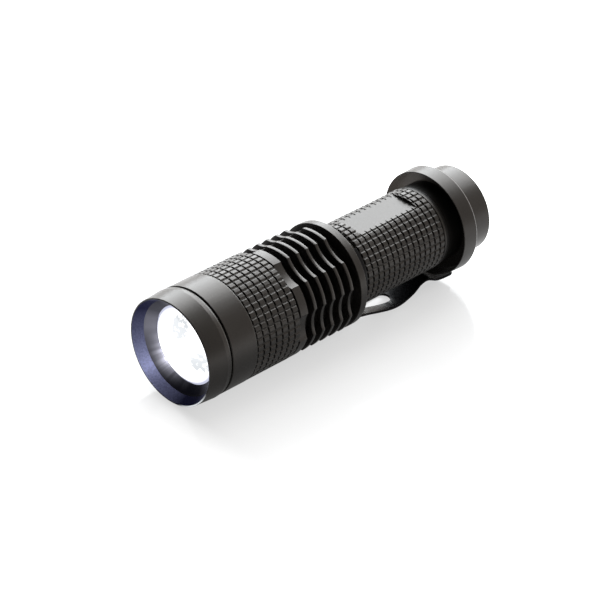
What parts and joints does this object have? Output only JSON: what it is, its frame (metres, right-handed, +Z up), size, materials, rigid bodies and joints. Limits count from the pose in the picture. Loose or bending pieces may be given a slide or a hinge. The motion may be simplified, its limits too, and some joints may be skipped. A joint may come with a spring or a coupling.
{
  "type": "pocket torch",
  "caption": "Slim black pocket torch with a sliding zoom head, finned heat sink, knurled battery tube, tail switch and spring steel pocket clip.",
  "frame": {"origin": "centre of the bounding box in plan, at the height of the pocket clip's lowest point, which the torch lies on", "axes": "+Y along the torch towards the tail, the beam leaves towards -Y; +Z up, away from the clip and towards the flat on the battery tube; +X to the right of somebody who looks from the head to the tail"},
  "size_m": [0.0266, 0.0936, 0.0293],
  "materials": {
    "anodised_black": "satin hard-anodised, knurled",
    "lens_clear": "polished, lit from behind in use",
    "rubber_black": "matte",
    "nylon_white": "matte",
    "brass": "turned",
    "board_white": "white solder mask",
    "phosphor_yellow": "phosphor coated",
    "wire_red": "insulated",
    "wire_black": "insulated",
    "board_green": "green solder mask",
    "component_black": "moulded",
    "spring_steel": "drawn wire",
    "spring_gold": "plated wire",
    "clip_steel": "black oxide, satin",
    "cell_jacket": "printed shrink sleeve, plain",
    "plated_steel": "nickel plated",
    "plunger_red": "moulded"
  },
  "bodies": {
    "barrel": {"heat_sink": "anodised_black", "head_seal": "rubber_black", "led_pill": "brass", "led_board": "board_white", "led_emitter": "phosphor_yellow", "led_dome": "lens_clear", "led_wire_red": "wire_red", "led_wire_black": "wire_black", "driver_board": "board_green", "driver_inductor": "component_black", "driver_parts": "component_black", "driver_contact": "brass", "driver_spring": "spring_steel", "battery_tube": "anodised_black"},
    "slide_ring": {"slide_bushing": "nylon_white"},
    "head": {"bezel_ring": "anodised_black", "lens_gasket": "rubber_black", "lens": "lens_clear", "lens_retainer": "anodised_black", "head_sleeve": "anodised_black"},
    "clip": {"pocket_clip": "clip_steel"},
    "cell": {"battery_cell": "cell_jacket", "battery_nub": "plated_steel", "battery_base": "plated_steel"},
    "seal": {"tail_seal": "rubber_black"},
    "cap": {"tail_cap": "anodised_black", "switch_retainer": "plated_steel", "switch_board": "board_green", "tail_spring": "spring_gold", "switch_carrier": "nylon_white", "switch_housing": "component_black", "boot_rim": "rubber_black"},
    "button": {"switch_plunger": "plunger_red", "switch_boot": "rubber_black"}
  },
  "joints": [
    {"name": "zoom_slide", "type": "slide", "parent": "barrel", "child": "slide_ring", "axis": [0, -1, 0], "range_m": [0, 0.007]},
    {"name": "head_turn", "type": "hinge", "parent": "slide_ring", "child": "head", "pos_m": [0, -0.02085, 0.01595], "axis": [0, 1, 0], "continuous": true},
    {"name": "clip_turn", "type": "hinge", "parent": "barrel", "child": "clip", "pos_m": [0, 0.00395, 0.01595], "axis": [0, 1, 0], "continuous": true},
    {"name": "cap_off", "type": "slide", "parent": "barrel", "child": "seal", "axis": [0, 1, 0], "range_m": [0, 0.12]},
    {"name": "cap_turn", "type": "hinge", "parent": "seal", "child": "cap", "pos_m": [0, 0.03715, 0.01595], "axis": [0, 1, 0], "continuous": true},
    {"name": "cell_out", "type": "slide", "parent": "barrel", "child": "cell", "axis": [0, 1, 0], "range_m": [0, 0.06]},
    {"name": "switch_press", "type": "slide", "parent": "cap", "child": "button", "axis": [0, -1, 0], "range_m": [0, 0.0012], "stiffness_N_per_m": 2500, "springref_m": -0.0008}
  ],
  "couplings": [
    {"joint": "cell_out", "follows": "cap_off", "ratio": 0.5}
  ]
}
